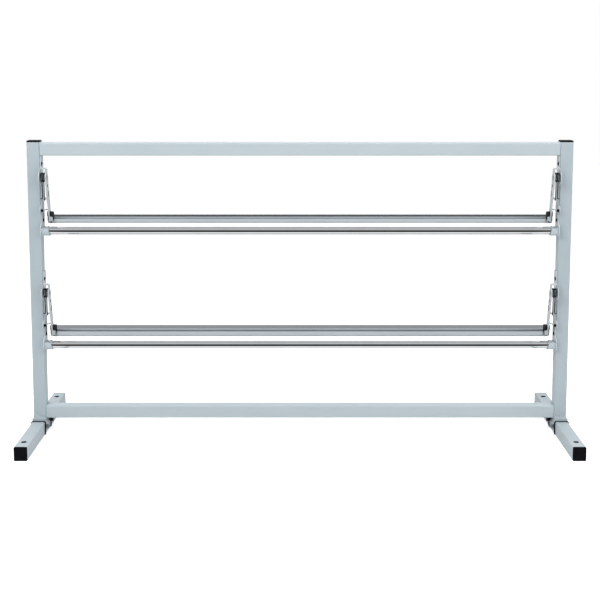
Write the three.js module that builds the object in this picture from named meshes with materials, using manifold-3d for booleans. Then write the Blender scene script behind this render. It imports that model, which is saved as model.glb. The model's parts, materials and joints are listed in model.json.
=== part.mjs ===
// Table-top stand for two paper rolls, one above the other, each with a sprung cutter bar.
// Millimetres, +Z up, +X to the right, the side the rolls are loaded from faces -Y.
import * as THREE from 'three';
import { mergeVertices } from 'three/addons/utils/BufferGeometryUtils.js';
import Module from 'manifold-3d';

const wasm = await Module();
wasm.setup();

// ---- driving dimensions ----
const GAP = 0.3; // clearance left between pieces that touch
const WIDTH = 1270; // over the outer faces of the posts
const TUBE = 30; // square tube of the posts and rails
const TUBE_WALL = 2;
const TUBE_RADIUS = 2.5; // outer corner radius of the tube
const POST_TOP = 694; // top end of the posts, below their caps
const CAP_LIP = 3.7; // visible thickness of a post cap
const CAP_PLUG = 16; // depth of the plug inside the post
const RAIL_TOP_Z = 663; // underside of the top rail
const RAIL_BOTTOM_Z = 36; // underside of the bottom rail

const FOOT_HEIGHT = 32;
const FOOT_HALF = 225; // from the post's centre to either end of a foot
const FOOT_CAP = 3.5;
const FOOT_PLUG = 12;
const BASE_HEIGHT = 39.7; // the block that each post stands on
const BASE_HALF = 31;
const SPIGOT_HALF = 75; // the base reaches this far into the feet
const SEAM = 3.6; // joint between base and foot, filled by a collar in front
const COLLAR_PROUD = 2.5; // the collar stands this far out of the foot's sides
const COLLAR_RISE = 1.4; // and this far above its top
const BASE_BORE = [19, 21];
const BENCH_HOLE_Y = 187;
const BENCH_HOLE_RADIUS = 6.5;
const FOOT_NUT = [-19, 16.5]; // y and z on the base's inner face
const FOOT_KNOB = [19, 26.5];
const KNOB_RADIUS = 8.5;

const SHAFT_Y = -17;
const SHAFT_Z = 487.5; // of the upper level
const SHAFT_RADIUS = 9.3;
const SHAFT_BORE_RADIUS = 7.6;
const SHAFT_HALF = 583.6; // half length of the turning tube
const JOURNAL_END = 602.1;
const JOURNAL_SPIGOT_X = 560;
const JOURNAL_SPIGOT_RADIUS = 7.2;
const LEVEL_DROP = 272; // the lower level repeats the upper one this far down

const PIVOT_Y = -27;
const PIVOT_Z = 613.3;
const PIN_RADIUS = 4;
const PIN_HEAD_RADIUS = 6.5;
const PIN_HEAD = 2.2; // height of the pin's domed head
const PIN_SWAGE = 1.3; // swaged end outside the plate

const PLATE_THICKNESS = 2;
const CRADLE_X = 583.4; // inner end of the cradle's floor
const CRADLE_SLANT = 5; // its lips start this much further out
const CRADLE_WALL = 2.2;
const CRADLE_FRONT_LIP = 7; // above the shaft's centre
const CRADLE_BACK_LIP = 9;

const ARM_X = 586.7; // inner face of the swing arm
const ARM_THICKNESS = 2.5;
const ARM_TILT = THREE.MathUtils.degToRad(17.5);
const ARM_WIDTH = 24;
const ARM_TAB_TOP = 22; // above the pivot
const ARM_TAB_HALF = 7;
const LUG_DROP = 77.5; // stop lug, below the pivot
const STOP_RISE = 48.3; // stop buffer, above the shaft's centre

const SPRING_WIRE = 1.5; // radius
const SPRING_RADIUS = 10.75; // mean radius of the coil
const SPRING_TURNS = 2.5;
const SPRING_OUTER_X = 600.6;
const SPRING_INNER_X = 591.3;
const HOOK_X = 592.8; // the inner leg's hook round the arm's tongue

const BAR_HALF = 583.9; // front part of the bar, between the end pieces
const BAR_STRIP_HALF = 593.6; // its rear strip runs on behind them
const BAR_STRIP_FROM = 33.8; // where the rear strip starts, behind the front corner
const BAR_FRONT = [3, 504]; // y and z of the bar's lower front corner
const BAR_END_INNER = 584.3;
const TOE_INNER = 580; // the arm's toe reaches this far in, in front of the bar
const BAR_END_OUTER = 593;

const INNER_FACE = WIDTH / 2 - TUBE; // the posts' inner faces
const POST_X = (WIDTH - TUBE) / 2;
const PLATE_OUTER = INNER_FACE - GAP;
const PLATE_INNER = PLATE_OUTER - PLATE_THICKNESS;
const ARM_OUTER = ARM_X + ARM_THICKNESS;

// ---- materials ----
const COLOURS = {
  paint: 0xbcc8ce,
  plastic: 0x1b1c20,
  rubber: 0x141416,
  chrome: 0xd8dadd,
  aluminium: 0xb4bdc4,
  steel: 0xa7adb2,
  springSteel: 0x34373c,
  zinc: 0xc3c8cb,
};
const METALS = ['chrome', 'aluminium', 'steel', 'springSteel', 'zinc'];

function material(kind) {
  return new THREE.MeshStandardMaterial({
    color: COLOURS[kind],
    metalness: METALS.includes(kind) ? 0.9 : 0.1,
    roughness: kind === 'chrome' ? 0.12 : 0.45,
  });
}

// ---- solids ----
function toSolid(geometry) {
  const bare = geometry.index ? geometry.toNonIndexed() : geometry.clone();
  bare.deleteAttribute('normal');
  bare.deleteAttribute('uv');
  const merged = mergeVertices(bare, 1e-4);
  const mesh = new wasm.Mesh({
    numProp: 3,
    vertProperties: new Float32Array(merged.attributes.position.array),
    triVerts: new Uint32Array(merged.index.array),
  });
  return new wasm.Manifold(mesh);
}

function toGeometry(solid) {
  const mesh = solid.getMesh();
  const geometry = new THREE.BufferGeometry();
  geometry.setAttribute('position', new THREE.BufferAttribute(mesh.vertProperties.slice(), 3));
  geometry.setIndex(new THREE.BufferAttribute(mesh.triVerts.slice(), 1));
  geometry.computeVertexNormals();
  return geometry;
}

function shapeOf(points, holes = []) {
  const shape = new THREE.Shape(points.map(([u, v]) => new THREE.Vector2(u, v)));
  for (const hole of holes) {
    shape.holes.push(new THREE.Path(hole.map(([u, v]) => new THREE.Vector2(u, v))));
  }
  return shape;
}

function extrude(shape, depth, basis, origin) {
  const geometry = new THREE.ExtrudeGeometry(shape, { depth, bevelEnabled: false, steps: 1 });
  geometry.applyMatrix4(new THREE.Matrix4().makeBasis(...basis));
  geometry.translate(...origin);
  return toSolid(geometry);
}

const AXIS_X = new THREE.Vector3(1, 0, 0);
const AXIS_Y = new THREE.Vector3(0, 1, 0);
const AXIS_Z = new THREE.Vector3(0, 0, 1);

// Outline in (y, z), from x0 to x1.
function alongX(shape, x0, x1) {
  return extrude(shape, x1 - x0, [AXIS_Y, AXIS_Z, AXIS_X], [x0, 0, 0]);
}

// Outline in (x, z), from y0 to y1.
function alongY(shape, y0, y1) {
  return extrude(shape, y1 - y0, [AXIS_X, AXIS_Z, AXIS_Y.clone().negate()], [0, y1, 0]);
}

// Outline in (x, y), from z0 to z1.
function alongZ(shape, z0, z1) {
  return extrude(shape, z1 - z0, [AXIS_X, AXIS_Y, AXIS_Z], [0, 0, z0]);
}

function arc(cu, cv, radius, from, to, steps) {
  const points = [];
  for (let i = 0; i <= steps; i += 1) {
    const angle = THREE.MathUtils.degToRad(from + ((to - from) * i) / steps);
    points.push([cu + radius * Math.cos(angle), cv + radius * Math.sin(angle)]);
  }
  return points;
}

function circle(cu, cv, radius, steps = 16) {
  return arc(cu, cv, radius, 0, 360, steps).slice(0, -1);
}

function rectangle(cu, cv, width, height, radius = 0, steps = 3) {
  const u = width / 2 - radius;
  const v = height / 2 - radius;
  if (radius === 0) {
    return [[cu - u, cv - v], [cu + u, cv - v], [cu + u, cv + v], [cu - u, cv + v]];
  }
  return [
    ...arc(cu + u, cv - v, radius, -90, 0, steps),
    ...arc(cu + u, cv + v, radius, 0, 90, steps),
    ...arc(cu - u, cv + v, radius, 90, 180, steps),
    ...arc(cu - u, cv - v, radius, 180, 270, steps),
  ];
}

// A slot with round ends, standing upright.
function slot(cu, cv, width, height) {
  const reach = (height - width) / 2;
  return [
    ...arc(cu, cv + reach, width / 2, 0, 180, 6),
    ...arc(cu, cv - reach, width / 2, 180, 360, 6),
  ];
}

// A turned piece about a line along X: the profile is [distance along X, radius].
function turnedX(profile, y, z, steps) {
  const points = profile.map(([x, radius]) => new THREE.Vector2(radius, x));
  const geometry = new THREE.LatheGeometry(points, steps);
  geometry.applyMatrix4(new THREE.Matrix4().makeBasis(AXIS_Y, AXIS_X, AXIS_Z.clone().negate()));
  geometry.translate(0, y, z);
  const solid = toSolid(geometry);
  return solid.volume() < 0 ? toSolid(flipped(geometry)) : solid;
}

function flipped(geometry) {
  const copy = geometry.clone();
  const index = copy.index.array;
  for (let i = 0; i < index.length; i += 3) {
    [index[i], index[i + 1]] = [index[i + 1], index[i]];
  }
  return copy;
}

// ---- assembly ----
const stand = new THREE.Group();
stand.name = 'paper_roll_stand';

function add(name, solid, kind) {
  const mesh = new THREE.Mesh(toGeometry(solid), material(kind));
  mesh.name = name;
  stand.add(mesh);
}

// Builds a piece on the right and its mirror image on the left.
function addPair(name, solid, kind) {
  add(`${name}_right`, solid, kind);
  add(`${name}_left`, solid.mirror([1, 0, 0]), kind);
}

function squareTube(cu, cv) {
  const inner = rectangle(cu, cv, TUBE - 2 * TUBE_WALL, TUBE - 2 * TUBE_WALL, TUBE_RADIUS / 2);
  return shapeOf(rectangle(cu, cv, TUBE, TUBE, TUBE_RADIUS), [inner]);
}

// ---- frame ----
addPair('post', alongZ(squareTube(POST_X, 0), BASE_HEIGHT + GAP, POST_TOP), 'paint');
add('rail_top', alongX(squareTube(0, RAIL_TOP_Z + TUBE / 2), GAP - INNER_FACE, INNER_FACE - GAP), 'paint');
add('rail_bottom', alongX(squareTube(0, RAIL_BOTTOM_Z + TUBE / 2), GAP - INNER_FACE, INNER_FACE - GAP), 'paint');

function postCap() {
  const plug = TUBE - 2 * TUBE_WALL - 2 * GAP;
  const lip = alongZ(shapeOf(rectangle(POST_X, 0, TUBE, TUBE, TUBE_RADIUS)), POST_TOP + GAP, POST_TOP + GAP + CAP_LIP);
  const inside = alongZ(shapeOf(rectangle(POST_X, 0, plug, plug, 1)), POST_TOP - CAP_PLUG, POST_TOP + GAP + 1);
  return lip.add(inside);
}
addPair('post_cap', postCap(), 'plastic');

// ---- feet ----
const footInner = [TUBE - 2 * TUBE_WALL, FOOT_HEIGHT - 2 * TUBE_WALL];

function footBase() {
  const block = alongY(
    shapeOf(rectangle(POST_X, BASE_HEIGHT / 2, TUBE, BASE_HEIGHT, TUBE_RADIUS)),
    -BASE_HALF,
    BASE_HALF,
  );
  const spigot = alongY(
    shapeOf(rectangle(POST_X, FOOT_HEIGHT / 2, footInner[0] - 2 * GAP, footInner[1] - 2 * GAP, 1)),
    -SPIGOT_HALF,
    SPIGOT_HALF,
  );
  const bore = alongY(
    shapeOf(rectangle(POST_X, FOOT_HEIGHT / 2, ...BASE_BORE, 1)),
    -SPIGOT_HALF - 1,
    SPIGOT_HALF + 1,
  );
  const studs = [FOOT_NUT, FOOT_KNOB].map(([y, z]) => (
    alongX(shapeOf(circle(y, z, 3.3, 12)), INNER_FACE - 1, POST_X)
  ));
  return block.add(spigot).subtract(bore).subtract(studs[0]).subtract(studs[1]);
}
addPair('foot_base', footBase(), 'paint');

function footTube(direction) {
  const near = BASE_HALF + SEAM;
  const far = FOOT_HALF - FOOT_CAP - GAP;
  const ends = direction < 0 ? [-far, -near] : [near, far];
  const outline = shapeOf(
    rectangle(POST_X, FOOT_HEIGHT / 2, TUBE, FOOT_HEIGHT, TUBE_RADIUS),
    [rectangle(POST_X, FOOT_HEIGHT / 2, ...footInner, TUBE_RADIUS / 2)],
  );
  const hole = alongZ(
    shapeOf(circle(POST_X, direction * BENCH_HOLE_Y, BENCH_HOLE_RADIUS)),
    -1,
    FOOT_HEIGHT + 1,
  );
  return alongY(outline, ...ends).subtract(hole);
}

function footCollar() {
  const top = FOOT_HEIGHT + COLLAR_RISE;
  const outline = shapeOf(
    rectangle(POST_X, (top + GAP) / 2, TUBE + 2 * COLLAR_PROUD, top - GAP, TUBE_RADIUS + 1),
    [rectangle(POST_X, FOOT_HEIGHT / 2, footInner[0] + GAP, footInner[1] + GAP, 1)],
  );
  return alongY(outline, GAP - BASE_HALF - SEAM, -BASE_HALF - GAP);
}
addPair('foot_collar', footCollar(), 'rubber');

function footCap(direction) {
  const face = shapeOf(rectangle(POST_X, FOOT_HEIGHT / 2, TUBE, FOOT_HEIGHT, TUBE_RADIUS));
  const plug = shapeOf(
    rectangle(POST_X, FOOT_HEIGHT / 2, footInner[0] - 2 * GAP, footInner[1] - 2 * GAP, 1),
  );
  const outer = FOOT_HALF * direction;
  const lip = (FOOT_HALF - FOOT_CAP) * direction;
  const deep = (FOOT_HALF - FOOT_CAP - FOOT_PLUG) * direction;
  const cover = alongY(face, Math.min(outer, lip), Math.max(outer, lip));
  const overlap = lip + direction;
  return cover.add(alongY(plug, Math.min(overlap, deep), Math.max(overlap, deep)));
}

for (const [place, direction] of [['front', -1], ['rear', 1]]) {
  addPair(`foot_${place}`, footTube(direction), 'paint');
  addPair(`foot_cap_${place}`, footCap(direction), 'plastic');
}

function footNut() {
  const face = INNER_FACE - GAP;
  const dome = [
    [face + 8, 0], [face + 8, 3], [face, 3], [face, 6], [face - 1.2, 6], [face - 1.2, 5],
    [face - 5, 5], [face - 7.2, 4.2], [face - 8.6, 2.4], [face - 9, 0],
  ];
  return turnedX(dome, ...FOOT_NUT, 16);
}
addPair('foot_nut', footNut(), 'zinc');

function footKnob() {
  const face = INNER_FACE - GAP;
  const outline = [];
  for (let i = 0; i < 24; i += 1) {
    const angle = (i * Math.PI) / 12;
    const radius = KNOB_RADIUS - (i % 4 < 2 ? 0 : 1.6);
    outline.push([FOOT_KNOB[0] + radius * Math.cos(angle), FOOT_KNOB[1] + radius * Math.sin(angle)]);
  }
  const grip = alongX(shapeOf(outline), face - 10, face - 2);
  const collar = alongX(shapeOf(circle(...FOOT_KNOB, 6)), face - 3, face);
  const stud = alongX(shapeOf(circle(...FOOT_KNOB, 3, 12)), face - 1, face + 8);
  return grip.add(collar).add(stud);
}
addPair('foot_knob', footKnob(), 'plastic');

// ---- one level of roll shaft and cutter ----
function sidePlate(shaftZ, pivotZ) {
  const z = (offset) => shaftZ + offset;
  const outline = [
    [14, z(-13)], [14, z(174)], [-13, z(174)], [-13, z(148)],
    ...arc(PIVOT_Y, pivotZ, 14, 90, 270, 8),
    [-13, z(104)], [-13, z(59)],
    [-27, z(57)], [-31, z(54)], [-31, z(44)], [-27, z(41)],
    [-13, z(38)], [-13, z(24)], [-27, z(14)], [-31, z(10)], [-31, z(-6)], [-24, z(-13)],
  ].reverse();
  const holes = [
    circle(PIVOT_Y, pivotZ, PIN_RADIUS + GAP, 12),
    slot(-6, z(156), 6, 12),
    slot(-3, z(23), 6, 10),
  ];
  return alongX(shapeOf(outline, holes), PLATE_INNER, PLATE_OUTER);
}

function cradle(shaftZ) {
  const inner = SHAFT_RADIUS + GAP;
  const outer = inner + CRADLE_WALL;
  const outline = [
    [SHAFT_Y - outer, shaftZ + CRADLE_FRONT_LIP],
    ...arc(SHAFT_Y, shaftZ, outer, 180, 360, 12),
    [SHAFT_Y + outer, shaftZ + CRADLE_BACK_LIP],
    [SHAFT_Y + inner, shaftZ + CRADLE_BACK_LIP],
    ...arc(SHAFT_Y, shaftZ, inner, 360, 180, 12),
    [SHAFT_Y - inner, shaftZ + CRADLE_FRONT_LIP],
  ];
  const slant = alongY(
    shapeOf([
      [CRADLE_X - 1, shaftZ - outer], [CRADLE_X, shaftZ - outer],
      [CRADLE_X + CRADLE_SLANT, shaftZ + CRADLE_BACK_LIP + 1],
      [CRADLE_X - 1, shaftZ + CRADLE_BACK_LIP + 1],
    ]),
    SHAFT_Y - outer - 1,
    SHAFT_Y + outer + 1,
  );
  return alongX(shapeOf(outline), CRADLE_X, PLATE_INNER - GAP).subtract(slant);
}

// Headed pin: domed inside the arm, swaged over outside the plate.
function pivotPin(pivotZ) {
  const inside = ARM_X - GAP;
  const outside = INNER_FACE;
  const profile = [
    [inside - PIN_HEAD, 0], [inside - PIN_HEAD, 3.4], [inside - PIN_HEAD + 0.7, 5.4],
    [inside - PIN_HEAD + 1.6, PIN_HEAD_RADIUS], [inside, PIN_HEAD_RADIUS], [inside, PIN_RADIUS],
    [outside, PIN_RADIUS], [outside, 5.6], [outside + PIN_SWAGE - 0.5, 5.2],
    [outside + PIN_SWAGE, 4], [outside + PIN_SWAGE, 0],
  ];
  return turnedX(profile, PIVOT_Y, pivotZ, 20);
}

// Centre line of the arm's strip, a distance down from the pivot.
function armPoint(drop, across = 0) {
  const y = PIVOT_Y + drop * Math.tan(ARM_TILT) + across / Math.cos(ARM_TILT);
  return [y, -drop];
}

function swingArm(pivotZ, barZ) {
  const at = ([y, dz]) => [y, pivotZ + dz];
  const hub = alongX(shapeOf(circle(PIVOT_Y, pivotZ, 12.5, 24)), ARM_X, ARM_OUTER);
  const barY = BAR_FRONT[0];
  const strip = alongX(shapeOf([
    at(armPoint(0, -ARM_WIDTH / 2)),
    at(armPoint(80, -ARM_WIDTH / 2)),
    [barY - 10, barZ + 15],
    [barY - 10, barZ + 2.5],
    [barY - 8, barZ + 0.8],
    [barY + 12, barZ + 0.8],
    [barY + 30, barZ + 5.5],
    [barY + 30, barZ + 13],
    [barY + 20, barZ + 15],
    at(armPoint(86, ARM_WIDTH / 2 - 2)),
    at(armPoint(0, ARM_WIDTH / 2)),
  ]), ARM_X, ARM_OUTER);
  const toe = alongZ(
    shapeOf([
      [TOE_INNER, barY - 10], [ARM_OUTER, barY - 10], [ARM_OUTER, barY - 7.7], [TOE_INNER, barY - 7.7],
    ]),
    barZ + 4,
    barZ + 14.3,
  );
  const ear = alongX(shapeOf([
    [PIVOT_Y - 0.4, pivotZ - 51.2], [PIVOT_Y + 9, pivotZ - 54],
    [PIVOT_Y + 9, pivotZ - 42], [PIVOT_Y - 0.4, pivotZ - 47.2],
  ]), ARM_X, ARM_OUTER);
  const tongue = alongX(shapeOf([
    [PIVOT_Y - 0.2, pivotZ - 50.3], [PIVOT_Y + 1.5, pivotZ - 50.3],
    [PIVOT_Y + 1.5, pivotZ - 46.6], [PIVOT_Y - 0.2, pivotZ - 46.6],
  ]), ARM_X, HOOK_X + 4);
  const bend = pivotZ + ARM_TAB_TOP - 5;
  const tab = alongY(shapeOf([
    [ARM_X, pivotZ + 8],
    [ARM_OUTER, pivotZ + 8],
    ...arc(ARM_OUTER + 2.5, bend, 2.5, 180, 90, 4),
    [PLATE_INNER - 0.9, pivotZ + ARM_TAB_TOP - 2.5],
    [PLATE_INNER - 0.9, pivotZ + ARM_TAB_TOP],
    ...arc(ARM_X + 5, bend, 5, 90, 180, 5),
  ]), PIVOT_Y - ARM_TAB_HALF, PIVOT_Y + ARM_TAB_HALF);
  const sleeve = alongX(shapeOf(circle(PIVOT_Y, pivotZ, 6.5, 20)), ARM_X + 1, PLATE_INNER - 0.9);
  const lugZ = pivotZ - LUG_DROP;
  const lug = alongZ(shapeOf([
    [ARM_X + 1, 1], [PLATE_INNER - 1.1, -24], [PLATE_INNER - 1.1, -19], [ARM_X + 1, 7],
  ]), lugZ - 1.25, lugZ + 1.25);
  const bore = alongX(shapeOf(circle(PIVOT_Y, pivotZ, PIN_RADIUS + GAP)), ARM_X - 1, PLATE_INNER);
  const small = alongX(shapeOf(circle(...at(armPoint(20)), 3.5, 14)), ARM_X - 1, ARM_OUTER + 1);
  const long = alongX(shapeOf(slot(...at(armPoint(40, 4)), 6, 14)), ARM_X - 1, ARM_OUTER + 1);
  const plain = [strip, toe, ear, tongue, tab, sleeve, lug].reduce((sum, piece) => sum.add(piece), hub);
  return plain.subtract(bore).subtract(small).subtract(long);
}

function springPath(pivotZ) {
  const points = [];
  const put = (x, dy, dz) => points.push(new THREE.Vector3(x, PIVOT_Y + dy, pivotZ + dz));
  put(604.6, 9, -51);
  put(602.4, 9, -51);
  put(600.3, 9, -50.1);
  put(599.4, 9, -48);
  put(599.7, 9.5, -34);
  put(SPRING_OUTER_X - 0.4, 10.2, -18);
  put(SPRING_OUTER_X, 10.65, -6);
  const steps = Math.round(SPRING_TURNS * 12);
  for (let i = 0; i <= steps; i += 1) {
    const angle = (i / 12) * 2 * Math.PI;
    const x = SPRING_OUTER_X + ((SPRING_INNER_X - SPRING_OUTER_X) * i) / steps;
    put(x, SPRING_RADIUS * Math.cos(angle), SPRING_RADIUS * Math.sin(angle));
  }
  put(SPRING_INNER_X, -SPRING_RADIUS + 0.2, -6);
  put(SPRING_INNER_X + 0.4, -9.2, -20);
  put(HOOK_X - 0.6, -6.2, -36);
  put(HOOK_X, -3.4, -47);
  put(HOOK_X, -2.4, -50.6);
  put(HOOK_X, 0.6, -53.2);
  put(HOOK_X, 3.7, -51);
  put(HOOK_X, 4, -48);
  return new THREE.CatmullRomCurve3(points, false, 'centripetal');
}

function torsionSpring(pivotZ) {
  const wire = shapeOf(circle(0, 0, SPRING_WIRE, 6));
  const geometry = new THREE.ExtrudeGeometry(wire, { steps: 60, extrudePath: springPath(pivotZ) });
  return toSolid(geometry);
}

function stopBuffer(shaftZ) {
  const outline = rectangle(-27.65, shaftZ + STOP_RISE, 6.7, 5.8, 1.2);
  return alongX(shapeOf(outline), 597.2, PLATE_INNER - GAP);
}

function cutterBar(barZ) {
  const [y] = BAR_FRONT;
  const outline = [
    [0, 0], [14, 0], [14, 1.9], [24, 2.5], [35.5, 2.5], [35.5, -0.5], [38.5, -0.5], [38.5, 2.5],
    [42, 5.9], [76.5, 6.7], [76.5, 3.6], [79.5, 3.6], [79.5, 9], [40, 8.2], [38, 4.6], [25.5, 4.6],
    [24.5, 5.8], [0, 2.6],
  ].map(([u, v]) => [y + u, barZ + v]);
  const notch = alongX(
    shapeOf(rectangle(y + BAR_STRIP_FROM - 20, barZ + 10, 40, 40)),
    BAR_HALF,
    BAR_STRIP_HALF + 1,
  );
  const full = alongX(shapeOf(outline), -BAR_STRIP_HALF, BAR_STRIP_HALF);
  return full.subtract(notch).subtract(notch.mirror([1, 0, 0]));
}

function blade(barZ) {
  const [y] = BAR_FRONT;
  const outline = [[-2.5, -1.3], [13, -1.3], [13, -0.3], [-1, -0.3]].map(([u, v]) => [y + u, barZ + v]);
  return alongX(shapeOf(outline), -BAR_HALF, BAR_HALF);
}

function barEnd(barZ) {
  const [y] = BAR_FRONT;
  const outline = [
    [-3.2, 7], [2, 0], [8, -2.6], [12, -2.6], [33, 1.4], [33, 19.4], [30.5, 21.6], [14, 25],
    [-4, 27], [-7, 25.5], [-7.4, 17], [-3.2, 15],
  ].map(([u, v]) => [y + u, barZ + v]);
  const body = alongX(shapeOf(outline), BAR_END_INNER, BAR_END_OUTER);
  const groove = alongX(
    shapeOf([[-20, -0.8], [12, -0.8], [31, 3.6], [31, 40], [-20, 40]].map(([u, v]) => [y + u, barZ + v])),
    ARM_X - GAP,
    ARM_OUTER + GAP,
  );
  return body.subtract(groove);
}

function rollShaft(shaftZ) {
  const outer = SHAFT_RADIUS;
  const inner = SHAFT_BORE_RADIUS;
  const profile = [
    [-SHAFT_HALF, inner], [-SHAFT_HALF, outer - 0.5], [0.5 - SHAFT_HALF, outer],
    [SHAFT_HALF - 0.5, outer], [SHAFT_HALF, outer - 0.5], [SHAFT_HALF, inner], [-SHAFT_HALF, inner],
  ];
  return turnedX(profile, SHAFT_Y, shaftZ, 24);
}

function journal(shaftZ) {
  const start = SHAFT_HALF + GAP;
  const profile = [
    [JOURNAL_SPIGOT_X, 0], [JOURNAL_SPIGOT_X, JOURNAL_SPIGOT_RADIUS - 1],
    [JOURNAL_SPIGOT_X + 1, JOURNAL_SPIGOT_RADIUS], [start, JOURNAL_SPIGOT_RADIUS],
    [start, SHAFT_RADIUS - 0.5], [start + 0.5, SHAFT_RADIUS], [JOURNAL_END - 1.2, SHAFT_RADIUS],
    [JOURNAL_END, SHAFT_RADIUS - 1.2], [JOURNAL_END, 0],
  ];
  return turnedX(profile, SHAFT_Y, shaftZ, 24);
}

for (const [level, drop] of [['upper', 0], ['lower', LEVEL_DROP]]) {
  const shaftZ = SHAFT_Z - drop;
  const pivotZ = PIVOT_Z - drop;
  const barZ = BAR_FRONT[1] - drop;
  addPair(`${level}_plate`, sidePlate(shaftZ, pivotZ), 'paint');
  addPair(`${level}_cradle`, cradle(shaftZ), 'paint');
  addPair(`${level}_pivot_pin`, pivotPin(pivotZ), 'zinc');
  addPair(`${level}_arm`, swingArm(pivotZ, barZ), 'steel');
  addPair(`${level}_spring`, torsionSpring(pivotZ), 'springSteel');
  addPair(`${level}_stop`, stopBuffer(shaftZ), 'rubber');
  addPair(`${level}_bar_end`, barEnd(barZ), 'plastic');
  addPair(`${level}_journal`, journal(shaftZ), 'chrome');
  add(`${level}_bar`, cutterBar(barZ), 'aluminium');
  add(`${level}_blade`, blade(barZ), 'steel');
  add(`${level}_shaft`, rollShaft(shaftZ), 'chrome');
}

export default stand;
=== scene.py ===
import json
import math
import random

import bmesh
import bpy
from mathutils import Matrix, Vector


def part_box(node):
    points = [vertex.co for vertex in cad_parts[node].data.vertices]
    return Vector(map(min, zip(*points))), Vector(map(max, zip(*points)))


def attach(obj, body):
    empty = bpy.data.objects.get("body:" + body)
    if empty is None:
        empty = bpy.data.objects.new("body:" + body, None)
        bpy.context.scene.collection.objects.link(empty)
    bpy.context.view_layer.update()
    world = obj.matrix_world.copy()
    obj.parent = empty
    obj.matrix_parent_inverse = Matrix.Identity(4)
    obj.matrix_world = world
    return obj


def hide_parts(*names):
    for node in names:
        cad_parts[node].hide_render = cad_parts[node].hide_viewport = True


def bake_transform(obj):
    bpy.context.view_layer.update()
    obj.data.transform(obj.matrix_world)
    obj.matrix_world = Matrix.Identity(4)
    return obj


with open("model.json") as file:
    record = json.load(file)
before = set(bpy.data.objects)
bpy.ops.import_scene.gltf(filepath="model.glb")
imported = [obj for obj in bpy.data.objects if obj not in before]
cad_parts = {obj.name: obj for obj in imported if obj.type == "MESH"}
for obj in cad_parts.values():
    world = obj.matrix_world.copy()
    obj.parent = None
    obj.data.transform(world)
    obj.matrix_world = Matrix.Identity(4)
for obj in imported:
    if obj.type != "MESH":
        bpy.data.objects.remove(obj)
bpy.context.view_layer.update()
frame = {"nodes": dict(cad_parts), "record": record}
NODES = frame["nodes"]

LEVELS = ("upper", "lower")
SIDES = (("left", -1), ("right", 1))
MM = 0.001

# ---------- camera ----------
CAMERA_PLACE = (0.0, -2.8451, 0.8848)
CAMERA_DOWN = 7.031  # degrees below level
CAMERA_LENS = 73.28
CAMERA_SENSOR = 36.0
CAMERA_SHIFT_Y = -0.15  # keeps the whole stand in the picture in views from up to 30 degrees above

camera_data = bpy.data.cameras.new("camera")
camera = bpy.data.objects.new("camera", camera_data)
bpy.context.scene.collection.objects.link(camera)
camera.location = CAMERA_PLACE
camera.rotation_euler = (math.radians(90 - CAMERA_DOWN), 0.0, 0.0)
camera_data.lens = CAMERA_LENS
camera_data.sensor_width = CAMERA_SENSOR
camera_data.shift_y = CAMERA_SHIFT_Y
camera_data.clip_start = 0.05
camera_data.clip_end = 50.0
bpy.context.scene.camera = camera


# ---------- node materials ----------
MIX_FIRST, MIX_SECOND, MIX_RESULT = 6, 7, 2  # the colour sockets of a Mix node


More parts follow.
